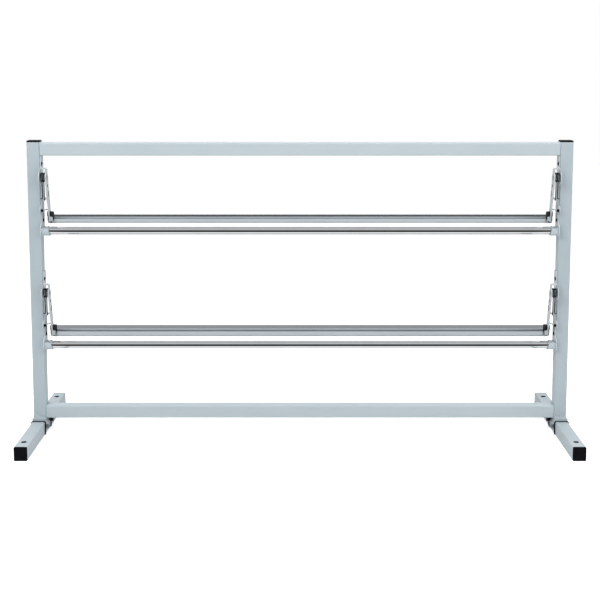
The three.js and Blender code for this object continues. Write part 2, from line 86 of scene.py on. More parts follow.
class Graph:
    """Short helper for building one material's node tree."""

    def __init__(self, name):
        self.material = bpy.data.materials.new(name)
        self.material.use_nodes = True
        self.tree = self.material.node_tree
        self.tree.nodes.clear()
        self.output = self.node("ShaderNodeOutputMaterial")
        self.shader = self.node("ShaderNodeBsdfPrincipled")
        self.link(self.shader.outputs[0], self.output.inputs["Surface"])
        self.position = self.node("ShaderNodeTexCoord").outputs["Object"]

    def node(self, kind, **settings):
        made = self.tree.nodes.new(kind)
        for key, value in settings.items():
            setattr(made, key, value)
        return made

    def link(self, source, target):
        self.tree.links.new(source, target)

    def feed(self, target, value):
        """Links a socket to target, or sets a plain value on it."""
        if isinstance(value, bpy.types.NodeSocket):
            self.link(value, target)
        else:
            target.default_value = value

    def noise(self, scale, detail=3.0, roughness=0.55, stretch=None):
        made = self.node("ShaderNodeTexNoise")
        made.inputs["Scale"].default_value = scale
        made.inputs["Detail"].default_value = detail
        made.inputs["Roughness"].default_value = roughness
        source = self.position
        if stretch is not None:
            mapping = self.node("ShaderNodeMapping")
            mapping.inputs["Scale"].default_value = stretch
            self.link(source, mapping.inputs["Vector"])
            source = mapping.outputs[0]
        self.link(source, made.inputs["Vector"])
        return made.outputs["Fac"]

    def ramp(self, value, low, high, from_min=0.3, from_max=0.7):
        """Maps value from from_min..from_max to low..high, clamped."""
        made = self.node("ShaderNodeMapRange")
        made.inputs["From Min"].default_value = from_min
        made.inputs["From Max"].default_value = from_max
        made.inputs["To Min"].default_value = low
        made.inputs["To Max"].default_value = high
        self.link(value, made.inputs["Value"])
        return made.outputs[0]

    def maths(self, operation, a, b):
        made = self.node("ShaderNodeMath", operation=operation)
        self.feed(made.inputs[0], a)
        self.feed(made.inputs[1], b)
        return made.outputs[0]

    def mix(self, factor, first, second):
        made = self.node("ShaderNodeMix", data_type="RGBA")
        self.feed(made.inputs[0], factor)
        self.feed(made.inputs[MIX_FIRST], first)
        self.feed(made.inputs[MIX_SECOND], second)
        return made.outputs[MIX_RESULT]

    def edges(self, radius):
        """1 on edges where two faces meet at an angle, 0 on flat faces."""
        geometry = self.node("ShaderNodeNewGeometry")
        dot = self.node("ShaderNodeVectorMath", operation="DOT_PRODUCT")
        self.link(self.soft_edges(radius), dot.inputs[0])
        self.link(geometry.outputs["Normal"], dot.inputs[1])
        return self.ramp(dot.outputs["Value"], 1.0, 0.0, 0.80, 0.995)

    def soft_edges(self, radius):
        """The surface normal, rounded off over edges."""
        bevel = self.node("ShaderNodeBevel", samples=4)
        bevel.inputs["Radius"].default_value = radius
        return bevel.outputs[0]

    def bump(self, height, strength, distance, normal=None):
        made = self.node("ShaderNodeBump")
        made.inputs["Strength"].default_value = strength
        made.inputs["Distance"].default_value = distance
        self.link(height, made.inputs["Height"])
        if normal is not None:
            self.link(normal, made.inputs["Normal"])
        return made.outputs[0]

    def finish(self, colour, roughness, metallic=0.0, normal=None, **values):
        self.feed(self.shader.inputs["Base Color"], colour)
        self.feed(self.shader.inputs["Roughness"], roughness)
        self.shader.inputs["Metallic"].default_value = metallic
        for key, value in values.items():
            self.shader.inputs[key].default_value = value
        if normal is not None:
            self.link(normal, self.shader.inputs["Normal"])
        return self.material


def paint_material(name, light, dark):
    g = Graph(name)
    broad = g.ramp(g.noise(3.5, 2.0), 0.0, 1.0)
    peel = g.noise(520.0, 2.0, 0.6)
    specks = g.ramp(g.noise(260.0, 2.0), 0.0, 1.0, 0.62, 0.74)
    drips = g.ramp(g.noise(26.0, 3.0, 0.5, (1.0, 1.0, 0.12)), 0.0, 1.0, 0.35, 0.7)
    wear = g.maths("MULTIPLY", g.edges(0.0012), g.ramp(g.noise(70.0, 4.0), 0.0, 0.5, 0.45, 0.72))
    base = g.mix(broad, light, dark)
    base = g.mix(g.maths("MULTIPLY", drips, 0.10), base, (0.42, 0.49, 0.53, 1))
    base = g.mix(g.maths("MULTIPLY", specks, 0.12), base, (0.28, 0.34, 0.38, 1))
    base = g.mix(wear, base, (0.60, 0.65, 0.68, 1))
    rough = g.maths("ADD", g.ramp(peel, 0.34, 0.46), g.maths("MULTIPLY", specks, 0.06))
    normal = g.bump(peel, 0.14, 0.0002, g.soft_edges(0.0008))
    return g.finish(base, rough, 0.0, normal, **{"Coat Weight": 0.2, "Coat Roughness": 0.25})


def weld_material():
    g = Graph("painted_weld_bead")
    ripple = g.noise(420.0, 3.0, 0.6)
    base = g.mix(g.ramp(ripple, 0.0, 1.0), (0.17, 0.21, 0.24, 1), (0.66, 0.72, 0.75, 1))
    return g.finish(base, g.ramp(ripple, 0.26, 0.44), 0.0, g.bump(ripple, 0.6, 0.0008))


# near-black unpainted steel: partly the steel's own dark scale, partly painted shade inside the tubes, in
# the bench holes and in the screw slots
def bare_steel_and_shade_material():
    g = Graph("unpainted_steel_and_painted_shade")
    scale = g.noise(120.0, 4.0)
    base = g.mix(g.ramp(scale, 0.0, 1.0), (0.010, 0.010, 0.011, 1), (0.024, 0.021, 0.019, 1))
    return g.finish(base, g.ramp(scale, 0.6, 0.85), 0.2, g.bump(scale, 0.2, 0.0002))


def plastic_material():
    g = Graph("black_moulded_plastic")
    grain = g.noise(1500.0, 2.0)
    broad = g.ramp(g.noise(30.0, 3.0), 0.0, 1.0)
    scuff = g.maths("MULTIPLY", g.edges(0.001), g.ramp(g.noise(120.0, 3.0), 0.0, 0.5, 0.42, 0.7))
    base = g.mix(broad, (0.0032, 0.0034, 0.0048, 1), (0.0052, 0.0054, 0.0068, 1))
    base = g.mix(scuff, base, (0.022, 0.0225, 0.025, 1))
    normal = g.bump(grain, 0.25, 0.0001, g.soft_edges(0.0006))
    return g.finish(base, g.ramp(grain, 0.46, 0.60), 0.0, normal, **{"Specular IOR Level": 0.12})


def rubber_material():
    g = Graph("black_rubber")
    grain = g.noise(600.0, 3.0)
    base = g.mix(g.ramp(grain, 0.0, 1.0), (0.004, 0.004, 0.005, 1), (0.007, 0.007, 0.008, 1))
    normal = g.bump(grain, 0.2, 0.0002)
    return g.finish(base, g.ramp(grain, 0.7, 0.85), 0.0, normal, **{"Specular IOR Level": 0.1})


def chrome_material():
    g = Graph("polished_chrome")
    along = g.noise(60.0, 3.0, 0.5, (0.4, 12.0, 12.0))
    smudge = g.ramp(g.noise(14.0, 4.0), 0.0, 1.0, 0.5, 0.75)
    base = g.mix(smudge, (0.90, 0.91, 0.92, 1), (0.84, 0.85, 0.87, 1))
    rough = g.maths("ADD", g.ramp(along, 0.03, 0.06), g.maths("MULTIPLY", smudge, 0.04))
    return g.finish(base, rough, 1.0, g.bump(along, 0.02, 0.0001))


def aluminium_material(name, light, dark, low=0.26, high=0.40, metallic=0.85):
    g = Graph(name)
    lines = g.noise(90.0, 4.0, 0.6, (0.15, 14.0, 14.0))
    broad = g.ramp(g.noise(5.0, 2.0), 0.0, 1.0)
    wear = g.maths("MULTIPLY", g.edges(0.0006), g.ramp(g.noise(90.0, 3.0), 0.0, 0.5, 0.42, 0.7))
    base = g.mix(broad, light, dark)
    base = g.mix(wear, base, (0.70, 0.73, 0.75, 1))
    return g.finish(base, g.ramp(lines, low, high), metallic, g.bump(lines, 0.08, 0.0001))


def steel_material(name, light, dark, rough_low, rough_high, scale=220.0, metallic=0.9):
    g = Graph(name)
    grain = g.noise(scale, 4.0, 0.65, (1.0, 1.0, 5.0))
    broad = g.ramp(g.noise(40.0, 3.0), 0.0, 1.0)
    wear = g.maths("MULTIPLY", g.edges(0.0005), g.ramp(g.noise(150.0, 3.0), 0.1, 0.7, 0.4, 0.7))
    bright = tuple(min(1.0, c * 1.25 + 0.02) for c in light[:3]) + (1,)
    base = g.mix(wear, g.mix(broad, light, dark), bright)
    normal = g.bump(grain, 0.12, 0.0001, g.soft_edges(0.0003))
    return g.finish(base, g.ramp(grain, rough_low, rough_high), metallic, normal)


PAINT = paint_material("powder_coat_grey_blue", (0.375, 0.442, 0.476, 1), (0.402, 0.468, 0.503, 1))
# painted light: a lighter copy of the same grey-blue paint for the rails and cradles, standing in for the
# extra light they catch
PAINT_LIGHTER_COPY = paint_material("powder_coat_painted_light", (0.425, 0.494, 0.527, 1), (0.455, 0.523, 0.556, 1))
# painted light: a still lighter copy of the grey-blue paint for the side plates, standing in for the side
# light on their inboard faces
PAINT_LIT_PLATES = paint_material("powder_coat_plates_painted_light", (0.50, 0.565, 0.60, 1), (0.55, 0.615, 0.65, 1))
WELD = weld_material()
BARE_AND_SHADE = bare_steel_and_shade_material()
PLASTIC = plastic_material()
RUBBER = rubber_material()
CHROME = chrome_material()
ALUMINIUM = aluminium_material("anodised_aluminium_face", (0.42, 0.475, 0.51, 1), (0.46, 0.515, 0.55, 1))
# lit and shaded copies of the bar's aluminium: painted shade on the top's rear strip, on the ridge and in
# the groove, painted light on the front edge and the blade
ALUMINIUM_TOP_SHADE = aluminium_material(
    "aluminium_top_painted_shade", (0.155, 0.185, 0.212, 1), (0.18, 0.214, 0.242, 1), 0.10, 0.15)
ALUMINIUM_LIT_FRONT = aluminium_material(
    "blade_front_painted_light", (0.52, 0.57, 0.60, 1), (0.58, 0.63, 0.66, 1), 0.4, 0.5, 0.2)
ALUMINIUM_GROOVE_SHADE = aluminium_material(
    "aluminium_groove_painted_shade", (0.07, 0.085, 0.097, 1), (0.09, 0.105, 0.12, 1), 0.3, 0.4)
ALUMINIUM_RIDGE_HALF_SHADE = aluminium_material(
    "aluminium_ridge_painted_half_shade", (0.38, 0.43, 0.465, 1), (0.42, 0.47, 0.505, 1), 0.3, 0.42, 0.5)
STEEL = steel_material(
    "pale_plated_steel", (0.62, 0.67, 0.69, 1), (0.55, 0.60, 0.625, 1), 0.34, 0.48, 220.0, 0.3)
NUT_ZINC = steel_material(
    "dull_zinc_nut", (0.36, 0.40, 0.42, 1), (0.28, 0.31, 0.33, 1), 0.34, 0.5, 400.0)
ZINC = steel_material(
    "zinc_plated_steel", (0.72, 0.73, 0.72, 1), (0.60, 0.62, 0.63, 1), 0.22, 0.40, 400.0)
SPRING = steel_material(
    "oiled_spring_steel", (0.030, 0.031, 0.042, 1), (0.018, 0.019, 0.027, 1), 0.3, 0.42)
SLOT_MATERIALS = {
    "painted_steel": PAINT,
    "black_plastic": PLASTIC,
    "rubber": RUBBER,
    "chrome": CHROME,
    "aluminium": ALUMINIUM,
    "bright_steel": STEEL,
    "zinc_steel": ZINC,
    "spring_steel": SPRING,
}
SLOTS = {s["node"]: s["material_slot"] for s in frame["record"]["subparts"]}
for name, node in NODES.items():
    node.data.materials.clear()
    node.data.materials.append(SLOT_MATERIALS[SLOTS[name]])


# ---------- mesh building ----------
# edges with a larger angle than this, in degrees, stay sharp
SHARP_REFINED = 32.0
SHARP_METAL = 40.0
SHARP_MOULDED = 50.0
SHARP_WIRE = 60.0
CORNER_STEPS = 6


def finish_piece(name, mesh_data, materials, body, node_names, smooth_angle):
    """Makes an object of a bmesh. It rides on body, if given, and replaces the CAD nodes named."""
    mesh = bpy.data.meshes.new(name)
    mesh_data.to_mesh(mesh)
    mesh_data.free()
    for material in materials:
        mesh.materials.append(material)
    mesh.shade_smooth()
    mesh.set_sharp_from_angle(angle=math.radians(smooth_angle))
    piece = bpy.data.objects.new(name, mesh)
    bpy.context.scene.collection.objects.link(piece)
    if body is not None:
        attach(piece, body)
    if node_names:
        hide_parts(*node_names)
    return piece


def ring_faces(bm, rings):
    """Skins consecutive closed rings of vertices with quads."""
    count = len(rings[0])
    faces = []
    for first, second in zip(rings, rings[1:]):
        for i in range(count):
            j = (i + 1) % count
            faces.append(bm.faces.new((first[i], first[j], second[j], second[i])))
    return faces


def prism(bm, outline, start, end, axis="x", chamfer=0.0):
    """A closed prism from start to end along axis x or y, with chamfered ends.

    outline is a list of (y, z) for axis x and of (x, z) for axis y.
    """
    middle_u = sum(p[0] for p in outline) / len(outline)
    middle_v = sum(p[1] for p in outline) / len(outline)
    spread = max(max(abs(p[0] - middle_u), abs(p[1] - middle_v)) for p in outline)
    shrink = 1.0 - chamfer / spread
    direction = 1.0 if end > start else -1.0

    def place(along, scale):
        ring = []
        for u, v in outline:
            u2 = middle_u + (u - middle_u) * scale
            v2 = middle_v + (v - middle_v) * scale
            ring.append(bm.verts.new((along, u2, v2) if axis == "x" else (u2, along, v2)))
        return ring

    stations = [(start, 1.0), (end, 1.0)]
    if chamfer:
        stations = [
            (start, shrink),
            (start + direction * chamfer, 1.0),
            (end - direction * chamfer, 1.0),
            (end, shrink),
        ]
    rings = [place(along, scale) for along, scale in stations]
    faces = ring_faces(bm, rings) + [bm.faces.new(rings[0]), bm.faces.new(rings[-1])]
    bmesh.ops.recalc_face_normals(bm, faces=faces)


def turned(profile, face=0.0, direction=1.0):
    """A profile in metres of (distance, radius) pairs in mm, counted along X from face in direction."""
    return [(face + direction * distance * MM, radius * MM) for distance, radius in profile]


def lathe(bm, profile, centre, segments=48, capped=True):
    """Turns (x, radius) pairs about the line along X through centre, which is (y, z).

    Radius 0 closes an end. Any other end gets a flat cap, unless capped is off.
    """
    rings = []
    for along, radius in profile:
        ring = []
        for i in range(segments):
            angle = 2.0 * math.pi * i / segments
            ring.append(bm.verts.new((
                along, centre[0] + radius * math.cos(angle), centre[1] + radius * math.sin(angle))))
        rings.append(ring)
    faces = ring_faces(bm, rings)
    if capped:
        for ring, (along, radius) in ((rings[0], profile[0]), (rings[-1], profile[-1])):
            if radius > 1e-6:
                faces.append(bm.faces.new(ring))
    bmesh.ops.remove_doubles(bm, verts=[v for r in rings for v in r], dist=1e-7)
    bmesh.ops.recalc_face_normals(bm, faces=[f for f in faces if f.is_valid])


def sweep(bm, path, radii, segments):
    """A round wire along path, with flat ends and a radius for each point of the path."""
    tangents = []
    for i in range(len(path)):
        before = path[max(i - 1, 0)]
        after = path[min(i + 1, len(path) - 1)]
        tangents.append((after - before).normalized())
    normal = tangents[0].orthogonal().normalized()
    rings = []
    for point, tangent, radius in zip(path, tangents, radii):
        normal = (normal - tangent * normal.dot(tangent)).normalized()
        side = tangent.cross(normal)
        ring = []
        for j in range(segments):
            angle = 2.0 * math.pi * j / segments
            ring.append(bm.verts.new(point + (normal * math.cos(angle) + side * math.sin(angle)) * radius))
        rings.append(ring)
    faces = ring_faces(bm, rings) + [bm.faces.new(rings[0]), bm.faces.new(rings[-1])]
    bmesh.ops.recalc_face_normals(bm, faces=faces)


def smooth_curve(points, steps):
    """A uniform Catmull-Rom curve through the points, with steps points for each stretch."""
    pts = [Vector(p) for p in points]
    pts = [pts[0] * 2 - pts[1]] + pts + [pts[-1] * 2 - pts[-2]]
    out = []
    for i in range(1, len(pts) - 2):
        p0, p1, p2, p3 = pts[i - 1:i + 3]
        for k in range(steps):
            t = k / steps
            out.append(0.5 * (
                2 * p1 + (p2 - p0) * t + (2 * p0 - 5 * p1 + 4 * p2 - p3) * t * t
                + (3 * p1 - p0 - 3 * p2 + p3) * t ** 3
            ))
    out.append(pts[-2])
    return out


def rounded(cu, cv, width, height, radius):
    """Outline of a rectangle with round corners, about (cu, cv)."""
    points = []
    for su, sv, first in ((1, -1, -90), (1, 1, 0), (-1, 1, 90), (-1, -1, 180)):
        for k in range(CORNER_STEPS + 1):
            angle = math.radians(first + 90.0 * k / CORNER_STEPS)
            points.append((
                cu + su * (width / 2 - radius) + radius * math.cos(angle),
                cv + sv * (height / 2 - radius) + radius * math.sin(angle),
            ))
    return points


def arc(y, z, radius, first, last, step):
    """Points on a circle about (y, z), from first degrees up to but not including last."""
    return [
        (y + radius * math.cos(math.radians(a)), z + radius * math.sin(math.radians(a)))
        for a in range(first, last, step)
    ]


def round_edges(bm, sharp_from, offset):
    """Bevels every edge where two faces meet at more than sharp_from degrees."""
    edges = [
        edge for edge in bm.edges
        if len(edge.link_faces) == 2 and edge.calc_face_angle() > math.radians(sharp_from)
    ]
    bmesh.ops.bevel(
        bm, geom=edges, offset=offset, segments=2, profile=0.5, affect="EDGES", clamp_overlap=True)


def node_centre(name):
    low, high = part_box(name)
    return (low + high) / 2


# ---------- world, floor and light ----------
# grey of the surroundings by the angle from the front horizon, in degrees: 90 overhead, 180 behind,
# -90 underfoot. The dark and bright bands give the chrome and the bars their stripes.
SKY_STOPS = (
    (-180, 0.6), (-124, 0.72), (-72, 0.85), (-42, 0.9), (-36, 0.06), (0, 0.03), (14, 0.05), (20, 0.42),
    (46, 0.46), (52, 0.66), (74, 0.66), (80, 0.06), (113, 0.06), (121, 1.05), (164, 1.0), (168, 0.12),
    (180, 0.03),
)
FLOOR_HALF = 8
FLOOR_GLOW = 0.5

world = bpy.data.worlds.new("studio")
bpy.context.scene.world = world
world.use_nodes = True
sky = world.node_tree.nodes
sky_links = world.node_tree.links
sky_direction = sky.new("ShaderNodeTexCoord")
sky_parts = sky.new("ShaderNodeSeparateXYZ")
sky_links.new(sky_direction.outputs["Generated"], sky_parts.inputs[0])
sky_front = sky.new("ShaderNodeMath")
sky_front.operation = "MULTIPLY"
sky_front.inputs[1].default_value = -1.0
sky_links.new(sky_parts.outputs["Y"], sky_front.inputs[0])
sky_angle = sky.new("ShaderNodeMath")
sky_angle.operation = "ARCTAN2"
sky_links.new(sky_parts.outputs["Z"], sky_angle.inputs[0])
sky_links.new(sky_front.outputs[0], sky_angle.inputs[1])
sky_range = sky.new("ShaderNodeMapRange")
sky_range.inputs["From Min"].default_value = -math.pi
sky_range.inputs["From Max"].default_value = math.pi
sky_links.new(sky_angle.outputs[0], sky_range.inputs["Value"])
sky_ramp = sky.new("ShaderNodeValToRGB")
sky_ramp.color_ramp.elements.remove(sky_ramp.color_ramp.elements[1])
for i, (degrees, grey) in enumerate(SKY_STOPS):
    stops = sky_ramp.color_ramp.elements
    place = (degrees + 180) / 360
    stop = stops[0] if i == 0 else stops.new(place)
    stop.position = place
    stop.color = (grey, grey, grey * 1.01, 1)
sky_links.new(sky_range.outputs[0], sky_ramp.inputs[0])
sky_eye = sky.new("ShaderNodeLightPath")
sky_mix = sky.new("ShaderNodeMix")
sky_mix.data_type = "RGBA"
sky_links.new(sky_eye.outputs["Is Camera Ray"], sky_mix.inputs[0])
sky_links.new(sky_ramp.outputs[0], sky_mix.inputs[MIX_FIRST])
sky_mix.inputs[MIX_SECOND].default_value = (1.0, 1.0, 1.0, 1)
sky_links.new(sky_mix.outputs[MIX_RESULT], sky["Background"].inputs[0])
sky["Background"].inputs[1].default_value = 1.0
bpy.context.scene.view_settings.view_transform = "Standard"


def area_light(name, location, target, size, power):
    """A soft light that doesn't show in reflections. power is in watts."""
    data = bpy.data.lights.new(name, "AREA")
    data.shape = "RECTANGLE"
    data.size, data.size_y = size
    data.energy = power
    light = bpy.data.objects.new(name, data)
    light.location = location
    light.visible_glossy = False
    direction = Vector(target) - Vector(location)
    light.rotation_euler = direction.to_track_quat("-Z", "Y").to_euler()
    bpy.context.scene.collection.objects.link(light)


area_light("key", (-1.6, -2.4, 2.9), (0, 0, 0.5), (2.0, 1.6), 75)
area_light("fill", (2.2, -2.0, 2.3), (0, 0, 0.5), (1.8, 1.8), 42)
area_light("back", (0.0, 2.2, 2.4), (0, 0, 0.4), (3.0, 1.0), 15)
area_light("overhead", (0.0, 0.0, 2.6), (0, 0, 0), (3.0, 1.5), 33)

floor_mesh = bpy.data.meshes.new("floor")
floor_corners = [(x * FLOOR_HALF, y * FLOOR_HALF, 0) for x, y in ((-1, -1), (1, -1), (1, 1), (-1, 1))]
floor_mesh.from_pydata(floor_corners, [], [(0, 1, 2, 3)])
floor = bpy.data.objects.new("floor", floor_mesh)
bpy.context.scene.collection.objects.link(floor)
floor_graph = Graph("pale_floor")
floor_noise = floor_graph.noise(1.5, 3.0)
floor_mesh.materials.append(floor_graph.finish(
    floor_graph.mix(floor_graph.ramp(floor_noise, 0.0, 1.0), (0.90, 0.90, 0.90, 1), (0.93, 0.93, 0.93, 1)),
    floor_graph.ramp(floor_graph.noise(40.0, 2.0), 0.55, 0.65),
    **{"Emission Color": (1.0, 1.0, 1.0, 1)},
))
# the floor glows for the camera only, so that it reads as white without lighting the stand from below
floor_eye = floor_graph.node("ShaderNodeLightPath")
floor_graph.feed(
    floor_graph.shader.inputs["Emission Strength"],
    floor_graph.maths("MULTIPLY", floor_eye.outputs["Is Camera Ray"], FLOOR_GLOW),
)
floor.visible_glossy = False

# ---------- helpers for pieces ----------
BODY_OF = {
    node: body
    for body, nodes in frame["record"]["behaviour"]["bodies"].items()
    for node in nodes
}
BEAD_STEPS = 12
BEAD_SEGMENTS = 10


def even_normals(piece):
    """Lets the large faces set the shading across rounded edges."""
    modifier = piece.modifiers.new("even_normals", "WEIGHTED_NORMAL")
    modifier.keep_sharp = True
    modifier.weight = 80


def refined(node, materials, bevel, choose=None, cuts_y=()):
    """A finer copy of a CAD node: merged faces, rounded edges, and a material for each region.

    choose gives the number of a face's material from its centre and normal. cuts_y lists where long
    faces are divided across Y, so that each part can have its own material.
    """
    bm = bmesh.new()
    bm.from_mesh(NODES[node].data)
    bmesh.ops.remove_doubles(bm, verts=bm.verts, dist=1e-6)
    bmesh.ops.dissolve_limit(bm, angle_limit=math.radians(0.5), verts=bm.verts, edges=bm.edges)
    round_edges(bm, SHARP_REFINED, bevel)
    for y in cuts_y:
        everything = bm.verts[:] + bm.edges[:] + bm.faces[:]
        bmesh.ops.bisect_plane(bm, geom=everything, plane_co=(0, y, 0), plane_no=(0, 1, 0))
    if choose:
        for face in bm.faces:
            face.material_index = choose(face.calc_center_median(), face.normal)
    piece = finish_piece(f"{node}_fine", bm, materials, BODY_OF[node], (node,), SHARP_REFINED)
    even_normals(piece)


def bead(name, points, radius, seed):
    """A weld bead on the frame: a wire whose thickness swells and shrinks in short steps."""
    rng = random.Random(seed)
    path = smooth_curve(points, BEAD_STEPS)
    radii = [radius * (0.80 + 0.28 * math.sin(i * 1.9) + 0.14 * rng.random()) for i in range(len(path))]
    bm = bmesh.new()
    sweep(bm, path, radii, BEAD_SEGMENTS)
    finish_piece(name, bm, [WELD], "frame", (), SHARP_WIRE)


# ---------- frame: tubes, caps, feet ----------
TUBE_BEVEL = 0.25 * MM
CAP_CORNER = 2.5 * MM
# the cover's outer rings, in mm: depth below the outer face, growth of the outline, corner radius
CAP_RINGS = ((1.1, 0.0, 2.5), (0.45, -0.35, 2.5), (0.12, -1.2, 2.5), (0.35, -3.2, 3.6), (0.35, -4.2, 4.6),
             (0.0, -5.2, 5.6))
CAP_CORNER_LEAST = 0.4 * MM
PLUG_CORNER = 2.6 * MM
PLUG_INSET = 2.4 * MM
RIB_DEPTH = 0.5 * MM
PLUG_TIP = 1.5 * MM
PLUG_TIP_INSET = 1.2 * MM

# the rails get the lighter paint copy: painted light
for node, coat in (
    ("post_left", PAINT), ("post_right", PAINT), ("rail_top", PAINT_LIGHTER_COPY), ("rail_bottom", PAINT_LIGHTER_COPY),
):
    refined(node, [coat], TUBE_BEVEL)


def cap_piece(node, axis, direction, lip, plug):
    """A moulded cap: a rounded cover with a shallow groove round its face, and a ribbed plug in the tube.

    axis and direction say which way the cover faces. lip and plug are the depths of cover and plug.
    """
    low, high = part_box(node)
    centre = (low + high) / 2
    bm = bmesh.new()
    if axis == "z":
        cu, cv = centre.x, centre.y
        width, height = high.x - low.x, high.y - low.y
        outer = high.z
    else:
        cu, cv = centre.x, centre.z
        width, height = high.x - low.x, high.z - low.z
        outer = low.y if direction < 0 else high.y

    def ring(along, grow, radius):
        points = rounded(cu, cv, width + 2 * grow, height + 2 * grow, max(radius + grow, CAP_CORNER_LEAST))
        if axis == "z":
            return [bm.verts.new((u, v, along)) for u, v in points]
        return [bm.verts.new((u, along, v)) for u, v in points]

    face = outer - direction * lip
    rings = [
        ring(face, -0.25 * MM, CAP_CORNER),
        ring(face + direction * 0.25 * MM, 0.0, CAP_CORNER),
    ]
    rings += [
        ring(outer - direction * depth * MM, grow * MM, radius * MM) for depth, grow, radius in CAP_RINGS
    ]
    faces = ring_faces(bm, rings)
    faces += [bm.faces.new(rings[0]), bm.faces.new(rings[-1])]
    depths = (0.0, 2 * MM, 2.4 * MM, 4 * MM, 4.4 * MM, 7 * MM, plug - PLUG_TIP, plug)
    insets = (0.0, 0.0, RIB_DEPTH, RIB_DEPTH, 0.0, 0.0, 0.0, PLUG_TIP_INSET)
    plug_rings = [
        ring(face - direction * depth, -PLUG_INSET - inset, PLUG_CORNER)
        for depth, inset in zip(depths, insets)
    ]
    faces += ring_faces(bm, plug_rings)
    faces += [bm.faces.new(plug_rings[0]), bm.faces.new(plug_rings[-1])]
    bmesh.ops.recalc_face_normals(bm, faces=faces)
    finish_piece(f"{node}_fine", bm, [PLASTIC], "frame", (node,), SHARP_MOULDED)


for side, sign in SIDES:
    cap_piece(f"post_cap_{side}", "z", 1, 3.7 * MM, 15.5 * MM)
    cap_piece(f"foot_cap_front_{side}", "y", -1, 3.5 * MM, 11.5 * MM)
    cap_piece(f"foot_cap_rear_{side}", "y", 1, 3.5 * MM, 11.5 * MM)


BENCH_HOLE_Y = 187 * MM
BENCH_HOLE_RADIUS = 6.5 * MM
BENCH_HOLE_REACH = BENCH_HOLE_RADIUS + 0.2 * MM
# the inside of a foot tube
BORE_HALF_WIDTH = 13 * MM
BORE_HALF_HEIGHT = 14 * MM
BORE_MIDDLE_Z = 16 * MM
BORE_MARGIN = 0.3 * MM
BORE_WALL_REACH = 0.6 * MM


def foot_paint_and_shade_region(cx):
    """Paint outside; near-black bare steel on the inner walls and in the bench holes, partly the steel's own
    dark scale and partly painted shade.
    """
    def choose(point, normal):
        across = abs(point.x - cx)
        from_hole = math.hypot(across, abs(point.y) - BENCH_HOLE_Y)
        if abs(normal.z) < 0.3 and from_hole < BENCH_HOLE_REACH:
            return 1
        up = abs(point.z - BORE_MIDDLE_Z)
        inside = across < BORE_HALF_WIDTH + BORE_MARGIN and up < BORE_HALF_HEIGHT + BORE_MARGIN
        from_wall = min(abs(across - BORE_HALF_WIDTH), abs(up - BORE_HALF_HEIGHT))
        return 1 if inside and from_wall < BORE_WALL_REACH else 0
    return choose


COLLAR_MIDDLE_Z = 16.85 * MM
COLLAR_WIDTH = 35 * MM
COLLAR_HEIGHT = 33.1 * MM
COLLAR_CORNER = 3.5 * MM
COLLAR_FROM_Y, COLLAR_TO_Y = 31.3 * MM, 34.3 * MM
COLLAR_CHAMFER = 0.4 * MM
BASE_INNER_X = 605 * MM
# turned profiles in mm: distance out from the base's inner face, radius
WASHER = ((0.35, 0.0), (0.35, 6.0), (0.55, 6.6), (1.25, 6.6), (1.45, 6.1), (1.45, 0.0))
DOME = ((5.2, 4.9), (5.8, 4.85), (6.9, 4.4), (7.9, 3.5), (8.6, 2.2), (8.95, 0.9), (9.0, 0.0))
KNOB_NECK = ((0.4, 0.0), (0.4, 5.6), (0.8, 6.0), (2.6, 6.0), (2.6, 0.0))
NUT_RADIUS = 5.6 * MM
KNOB_RADIUS, FLUTE_DEPTH = 8.0, 0.5  # mm
FLUTES, KNOB_POINTS = 8, 96


def rear_collar(side, cx):
    """The collar in the joint between the base and the rear foot."""
    bm = bmesh.new()
    outline = rounded(cx, COLLAR_MIDDLE_Z, COLLAR_WIDTH, COLLAR_HEIGHT, COLLAR_CORNER)
    prism(bm, outline, COLLAR_FROM_Y, COLLAR_TO_Y, "y", COLLAR_CHAMFER)
    finish_piece(f"foot_collar_rear_{side}", bm, [RUBBER], "frame", (), SHARP_MOULDED)


def dome_nut(side, inner_face, sign):
    """A dome nut with its washer, on the base's inner face."""
    nut = node_centre(f"foot_nut_{side}")
    bm = bmesh.new()
    lathe(bm, turned(WASHER, inner_face, -sign), (nut.y, nut.z))
    hexagon = arc(nut.y, nut.z, NUT_RADIUS, 0, 360, 60)
    prism(bm, hexagon, inner_face - sign * 1.45 * MM, inner_face - sign * 5.4 * MM, "x", 0.5 * MM)
    lathe(bm, turned(DOME, inner_face, -sign), (nut.y, nut.z))
    finish_piece(f"foot_nut_{side}_fine", bm, [NUT_ZINC], "frame", (f"foot_nut_{side}",),
                 SHARP_METAL)


def fluted_knob(side, inner_face, sign):
    """A fluted knob with a neck, on the base's inner face."""
    knob = node_centre(f"foot_knob_{side}")
    bm = bmesh.new()
    flutes = []
    for i in range(KNOB_POINTS):
        angle = 2 * math.pi * i / KNOB_POINTS
        radius = (KNOB_RADIUS + FLUTE_DEPTH * math.cos(angle * FLUTES)) * MM
        flutes.append((knob.y + radius * math.cos(angle), knob.z + radius * math.sin(angle)))
    prism(bm, flutes, inner_face - sign * 2.4 * MM, inner_face - sign * 10.1 * MM, "x", 0.9 * MM)
    lathe(bm, turned(KNOB_NECK, inner_face, -sign), (knob.y, knob.z))
    finish_piece(f"foot_knob_{side}_fine", bm, [PLASTIC], "frame", (f"foot_knob_{side}",),
                 SHARP_METAL)


